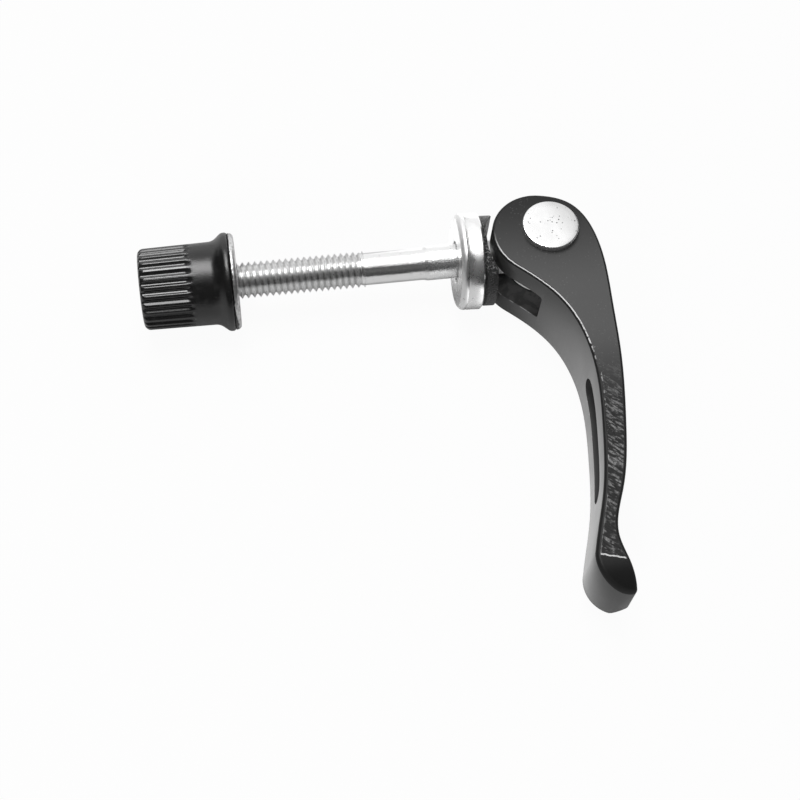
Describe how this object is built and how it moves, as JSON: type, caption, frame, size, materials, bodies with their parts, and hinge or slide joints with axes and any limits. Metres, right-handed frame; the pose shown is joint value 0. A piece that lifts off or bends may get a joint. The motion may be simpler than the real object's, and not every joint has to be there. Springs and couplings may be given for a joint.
{
  "type": "quick release seatpost skewer",
  "caption": "Quick release skewer for a bicycle seat clamp: an eye bolt with a black cam lever, saddle and washer at one end and a fluted thumb nut at the other.",
  "frame": {"origin": "on the bolt's axis, in the washer face that presses on the clamp", "axes": "+X along the bolt towards the lever, +Z along the pivot pin and up as the skewer lies, the lever points along -Y"},
  "size_m": [0.0739, 0.0696, 0.0162],
  "materials": {
    "zinc_steel": "bright zinc plating with small pits",
    "pin_steel": "plain bright steel with faint specks",
    "black_paint": "satin black paint over saw cut sides",
    "saddle_plastic": "matt black with a fine grain",
    "nut_plastic": "satin black",
    "insert_steel": "turned bright metal"
  },
  "bodies": {
    "bolt": {"eye_bolt": "zinc_steel"},
    "lever": {"cam_lever": "black_paint", "pivot_pin": "pin_steel"},
    "washer": {"clamp_washer": "zinc_steel", "cam_saddle": "saddle_plastic"},
    "nut": {"thumb_nut": "nut_plastic", "nut_insert": "insert_steel"}
  },
  "joints": [
    {"name": "lever_swing", "type": "hinge", "parent": "bolt", "child": "lever", "pos_m": [0.01495, 0, 0], "axis": [0, 0, 1], "range_deg": [-25, 160]},
    {"name": "washer_slide", "type": "slide", "parent": "bolt", "child": "washer", "axis": [-1, 0, 0], "range_m": [0, 0.0353]},
    {"name": "nut_spin", "type": "hinge", "parent": "bolt", "child": "nut", "pos_m": [-0.03585, 0, 0], "axis": [1, 0, 0], "continuous": true}
  ]
}
